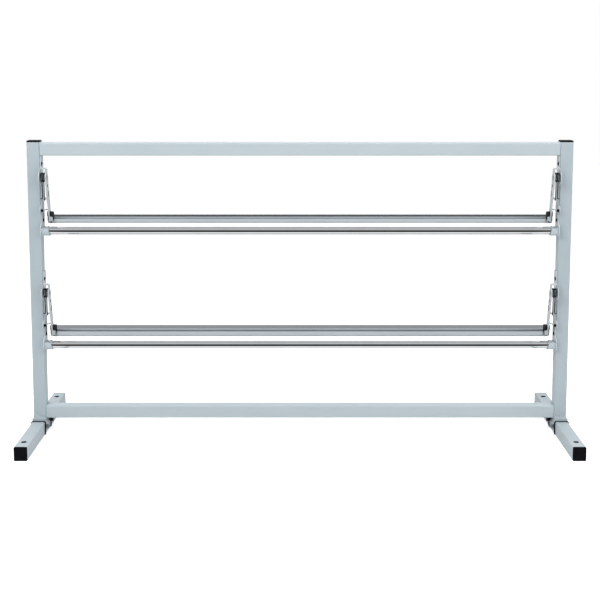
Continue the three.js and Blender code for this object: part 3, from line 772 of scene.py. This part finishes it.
def frame_welds(side, sign):
    """Weld beads between the post and its base, and between each rail and the post."""
    x_outer, x_middle, x_inner = sign * 634.2 * MM, sign * 620 * MM, sign * 605.4 * MM
    z = 40.3 * MM
    for where, back, seed in (("front", -1, 11), ("rear", 1, 21)):
        end_y, middle_y = back * 15.4 * MM, back * 15.7 * MM
        points = [(x_outer, end_y, z), (x_middle, middle_y, z), (x_inner, end_y, z)]
        bead(f"weld_base_{where}_{side}", points, 1.9 * MM, seed + sign)
    x, half, thin = sign * 603.8 * MM, 12.5 * MM, 0.9 * MM
    for rail, above_radius, seed in (("rail_bottom", 1.5 * MM, 66), ("rail_top", thin, 693)):
        low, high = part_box(rail)
        end_z, middle_z = high.z + 0.2 * MM, high.z + 0.5 * MM
        bead(f"weld_{rail}_above_{side}", [(x, -half, end_z), (x, 0.0, middle_z), (x, half, end_z)],
             above_radius, 31 + sign + seed)
        end_z, middle_z = low.z - 0.2 * MM, low.z - 0.5 * MM
        bead(f"weld_{rail}_below_{side}", [(x, -half, end_z), (x, 0.0, middle_z), (x, half, end_z)],
             thin, 41 + sign + seed)
        end_y, middle_y = 15.2 * MM, 15.5 * MM
        bead(f"weld_{rail}_back_{side}",
             [(x, end_y, low.z + 3 * MM), (x, middle_y, low.z + 15 * MM), (x, end_y, high.z - 3 * MM)],
             thin, 51 + sign + seed)


for side, sign in SIDES:
    post_x = node_centre(f"post_{side}").x
    # the foot tubes' inner walls and bench holes get near-black steel: partly painted shade
    refined(f"foot_front_{side}", [PAINT, BARE_AND_SHADE], TUBE_BEVEL, foot_paint_and_shade_region(post_x))
    refined(f"foot_rear_{side}", [PAINT, BARE_AND_SHADE], TUBE_BEVEL, foot_paint_and_shade_region(post_x))
    refined(f"foot_base_{side}", [PAINT], 0.5 * MM)
    refined(f"foot_collar_{side}", [RUBBER], 0.4 * MM)
    rear_collar(side, post_x)
    dome_nut(side, sign * BASE_INNER_X, sign)
    fluted_knob(side, sign * BASE_INNER_X, sign)
    frame_welds(side, sign)

# ---------- one level: plates, cradles, arms, springs, bar, shaft ----------
PIVOT_Y = -27 * MM
SHAFT_Y = -17 * MM
SHAFT_RADIUS = 9.3 * MM

# on each side plate: name, y, height above the shaft, turn of the slot in radians
PLATE_SCREWS = (("top", -6 * MM, 156 * MM, 0.6), ("low", -3 * MM, 23 * MM, 1.9))
PLATE_FACE_X = 602.7 * MM
# turned profile in mm: distance out from the plate, radius
SCREW_PROFILE = ((-1.6, 0.0), (-1.6, 2.6), (0.1, 2.6), (0.1, 4.3), (0.5, 4.5), (1.4, 4.0), (2.0, 3.0),
                 (2.2, 1.6), (2.25, 0.0))
SCREW_SLOT_HALF, SCREW_SLOT_THICK = 3.2 * MM, 0.45 * MM

CRADLE_PLAY = 0.35 * MM
CRADLE_WALL = 2.2 * MM
CRADLE_FRONT_TOP = 7.0 * MM
CRADLE_REAR_TOP = 9 * MM
CRADLE_LIP = 0.5 * MM
CRADLE_FLARE = 0.4 * MM
CRADLE_INNER_X, CRADLE_OUTER_X = 583.5 * MM, 602.35 * MM
CRADLE_SLANT, CRADLE_SLANT_HEIGHT = 5 * MM, 23.5 * MM
CRADLE_SHARP_FROM, CRADLE_BEVEL = 50.0, 0.3 * MM

# turned profiles in mm: distance from the middle of the stand, radius
PIN_PROFILE = (
    (584.15, 0.0), (584.3, 1.6), (584.15, 2.6), (584.3, 3.6), (584.7, 4.9), (585.4, 6.1), (586.0, 6.5),
    (586.35, 6.5), (586.35, 4.0), (605.05, 4.0), (605.05, 5.5), (605.5, 5.5), (606.0, 4.9), (606.3, 3.6),
    (606.3, 0.0),
)
JOURNAL_PROFILE = (
    (560.0, 0.0), (560.0, 6.2), (561.0, 7.2), (583.9, 7.2), (583.9, 8.8), (584.3, 9.2), (588.0, 9.2),
    (588.2, 8.8), (589.0, 8.8), (589.2, 9.2), (600.9, 9.2), (601.9, 8.3), (602.1, 7.6), (602.1, 0.0),
)

SPRING_WIRE = 1.1 * MM  # radius
SPRING_SEGMENTS = 14
SPRING_TURNS = 2.5
SPRING_TURN_STEPS = 24
# the spring's coil and hooks, in mm: x from the middle of the stand, y and z from the pivot
COIL_OUTER_X, COIL_LENGTH, COIL_RADIUS = 600.6, 9.3, 10.75
PLATE_HOOK = [(604.6, 9, -51), (602.4, 9, -51), (600.3, 9, -50.1), (599.4, 9, -48), (599.7, 9.5, -34),
              (600.2, 10.2, -18), (600.6, 10.65, -6)]
TONGUE_HOOK = [(591.3, -10.55, -6), (591.7, -9.2, -20), (592.2, -6.2, -36), (592.8, -3.4, -47),
               (592.8, -2.4, -50.6), (592.8, 0.6, -53.2), (592.8, 3.7, -51), (592.8, 4, -48)]

ARM_TILT = math.radians(17.5)
ARM_HOLES = ((20.0, 0.0, 4.2), (40.0, 4.0, 8.0))  # mm: distance down the arm, offset to the back, reach

SHAFT_END, SHAFT_BORE, SHAFT_STEP = 583.6, 7.6, 60  # mm
SHAFT_RIM = ((0.0, 8.7), (0.2, 9.05), (0.6, 9.3))  # mm: distance in from the end, radius

BAR_FRONT_Y = 3  # mm
# where the bar's upper side changes between its painted light and shade bands, in mm behind its front edge
FACE_TO, GROOVE_TO, RIDGE_TO = 22.5, 38.0, 43.0
BAR_MATERIALS = [ALUMINIUM, ALUMINIUM_TOP_SHADE, ALUMINIUM_RIDGE_HALF_SHADE, ALUMINIUM_GROOVE_SHADE, ALUMINIUM_LIT_FRONT]
BAR_FACE, BAR_REAR, BAR_RIDGE, BAR_GROOVE, BAR_FRONT = range(5)


def screw(name, x, y, z, sign, turn):
    """A pan head screw with a slotted drive, head towards the middle of the stand."""
    bm = bmesh.new()
    lathe(bm, turned(SCREW_PROFILE, x, -sign), (y, z), segments=32)
    finish_piece(name, bm, [SPRING], "frame", (), SHARP_MOULDED)
    # the slot is a near-black prism set into the head: painted shade in the slot's recess
    bm = bmesh.new()
    c, s = math.cos(turn), math.sin(turn)
    half, thick = SCREW_SLOT_HALF, SCREW_SLOT_THICK
    slot = [
        (y + c * a - s * b, z + s * a + c * b)
        for a, b in ((-half, -thick), (half, -thick), (half, thick), (-half, thick))
    ]
    prism(bm, slot, x - sign * 1.5 * MM, x - sign * 2.34 * MM)
    finish_piece(f"{name}_slot", bm, [BARE_AND_SHADE], "frame", (), SHARP_MOULDED)


def cradle_outline(y, z):
    """Section of the cradle, open at the top, round a shaft at (y, z)."""
    inner = SHAFT_RADIUS + CRADLE_PLAY
    outer = inner + CRADLE_WALL
    points = [(y - outer + CRADLE_LIP, z + CRADLE_FRONT_TOP), (y - outer, z + CRADLE_FRONT_TOP - CRADLE_LIP)]
    points += arc(y, z, outer, 180, 361, 6)
    points += [
        (y + outer, z + CRADLE_REAR_TOP - CRADLE_LIP),
        (y + outer - CRADLE_LIP, z + CRADLE_REAR_TOP),
        (y + inner + CRADLE_FLARE, z + CRADLE_REAR_TOP),
    ]
    points += arc(y, z, inner, 360, 179, -6)
    points += [(y - inner - CRADLE_FLARE, z + CRADLE_FRONT_TOP)]
    return points


def cradle(node, sign, shaft_z):
    """The cradle, with its inner end slanted: it reaches furthest in at the bottom."""
    outline = cradle_outline(SHAFT_Y, shaft_z)
    bottom = min(v for u, v in outline)
    bm = bmesh.new()
    inner_ring = [
        bm.verts.new((sign * (CRADLE_INNER_X + CRADLE_SLANT * (v - bottom) / CRADLE_SLANT_HEIGHT), u, v))
        for u, v in outline
    ]
    outer_ring = [bm.verts.new((sign * CRADLE_OUTER_X, u, v)) for u, v in outline]
    faces = ring_faces(bm, [inner_ring, outer_ring])
    faces += [bm.faces.new(inner_ring), bm.faces.new(outer_ring)]
    bmesh.ops.recalc_face_normals(bm, faces=faces)
    round_edges(bm, CRADLE_SHARP_FROM, CRADLE_BEVEL)
    # the cradle gets the lighter paint copy: painted light
    piece = finish_piece(f"{node}_fine", bm, [PAINT_LIGHTER_COPY], "frame", (node,), SHARP_METAL)
    even_normals(piece)


def pivot_pin(node, sign, pivot_z):
    """The pin of an arm: domed head with a shallow dimple, shank, swaged end."""
    bm = bmesh.new()
    lathe(bm, turned(PIN_PROFILE, 0.0, sign), (PIVOT_Y, pivot_z), segments=40)
    finish_piece(f"{node}_fine", bm, [ZINC], "frame", (node,), SHARP_METAL)


def spring_path(sign, pivot_z):
    """Centre line of the spring: hook in the plate, coil round the pin, hook round the arm's tongue."""
    steps = int(SPRING_TURNS * SPRING_TURN_STEPS)
    coil = []
    for i in range(steps + 1):
        angle = 2 * math.pi * i / SPRING_TURN_STEPS
        x = COIL_OUTER_X - COIL_LENGTH * i / steps
        coil.append((x, COIL_RADIUS * math.cos(angle), COIL_RADIUS * math.sin(angle)))
    points = [
        (sign * x * MM, PIVOT_Y + y * MM, pivot_z + z * MM) for x, y, z in PLATE_HOOK + coil + TONGUE_HOOK
    ]
    before, after = len(PLATE_HOOK), len(TONGUE_HOOK)
    path = smooth_curve(points[:before], 6)[:-1]
    path += smooth_curve(points[before - 1:-after], 2)[:-1]
    return path + smooth_curve(points[-after - 1:], 6)


def torsion_spring(node, sign, pivot_z):
    """The spring, bent between the frame and the cutter."""
    bm = bmesh.new()
    path = spring_path(sign, pivot_z)
    sweep(bm, path, [SPRING_WIRE] * len(path), SPRING_SEGMENTS)
    spring = finish_piece(f"{node}_fine", bm, [SPRING], None, (node,), SHARP_WIRE)
    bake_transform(spring)


def journal(node, sign, shaft_z, body):
    """The bearing journal in the shaft's end."""
    bm = bmesh.new()
    lathe(bm, turned(JOURNAL_PROFILE, 0.0, sign), (SHAFT_Y, shaft_z), segments=56)
    finish_piece(f"{node}_fine", bm, [CHROME], body, (node,), SHARP_METAL)


def shaft(node, shaft_z, body):
    """The chrome shaft: a tube with rolled-over ends."""
    profile = [(-SHAFT_END, SHAFT_BORE)]
    profile += [(-SHAFT_END + inset, radius) for inset, radius in SHAFT_RIM]
    profile += [(x, SHAFT_RIM[-1][1]) for x in range(-540, 541, SHAFT_STEP)]
    profile += [(SHAFT_END - inset, radius) for inset, radius in reversed(SHAFT_RIM)]
    profile += [(SHAFT_END, SHAFT_BORE), (-SHAFT_END, SHAFT_BORE)]
    bm = bmesh.new()
    lathe(bm, turned(profile), (SHAFT_Y, shaft_z), segments=64, capped=False)
    finish_piece(f"{node}_fine", bm, [CHROME], body, (node,), SHARP_METAL)


def arm_hole_shade_region(pivot_z):
    """Painted shade: the walls inside the arm's punched holes get the near-black spring steel colour."""
    holes = []
    for down, back, reach in ARM_HOLES:
        behind = (down * math.tan(ARM_TILT) + back / math.cos(ARM_TILT)) * MM
        holes.append((PIVOT_Y + behind, pivot_z - down * MM, reach * MM))

    def choose(point, normal):
        if abs(normal.x) > 0.5:
            return 0
        return 1 if any(math.hypot(point.y - y, point.z - z) < reach for y, z, reach in holes) else 0
    return choose


def bar_region(point, normal):
    """Light front face, painted light on the front edge, painted shade in the groove, painted half shade on
    the ridge and painted shade on the rear strip of the extruded bar.
    """
    behind = (point.y - BAR_FRONT_Y * MM) / MM
    if normal.y < -0.8 and behind < 5:
        return BAR_FRONT
    if normal.z < -0.3 or abs(normal.x) > 0.7 or behind <= FACE_TO:
        return BAR_FACE
    if behind < GROOVE_TO:
        return BAR_GROOVE
    return BAR_RIDGE if behind < RIDGE_TO else BAR_REAR


for level in LEVELS:
    shaft_low, shaft_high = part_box(f"{level}_shaft")
    shaft_z = (shaft_low.z + shaft_high.z) / 2
    pivot_z = node_centre(f"{level}_pivot_pin_right").z

    for side, sign in SIDES:
        # the side plate gets the lightest paint copy: painted light
        refined(f"{level}_plate_{side}", [PAINT_LIT_PLATES], 0.3 * MM)
        for place, y, rise, turn in PLATE_SCREWS:
            screw(f"{level}_plate_screw_{place}_{side}", sign * PLATE_FACE_X, y, shaft_z + rise, sign, turn)
        cradle(f"{level}_cradle_{side}", sign, shaft_z)
        pivot_pin(f"{level}_pivot_pin_{side}", sign, pivot_z)
        # the arm's hole walls carry painted shade
        refined(f"{level}_arm_{side}", [STEEL, SPRING], 0.25 * MM, arm_hole_shade_region(pivot_z))
        refined(f"{level}_stop_{side}", [RUBBER], 0.5 * MM)
        refined(f"{level}_bar_end_{side}", [PLASTIC], 0.35 * MM)
        torsion_spring(f"{level}_spring_{side}", sign, pivot_z)
        journal(f"{level}_journal_{side}", sign, shaft_z, f"{level}_journals")

    shaft(f"{level}_shaft", shaft_z, f"{level}_roll_shaft")
    cuts = tuple((BAR_FRONT_Y + behind) * MM for behind in (FACE_TO, RIDGE_TO))
    # the bar's faces get painted light and shade by region
    refined(f"{level}_bar", BAR_MATERIALS, 0.2 * MM, bar_region, cuts)
    # the blade gets the lit aluminium copy: painted light
    refined(f"{level}_blade", [ALUMINIUM_LIT_FRONT], 0.15 * MM)
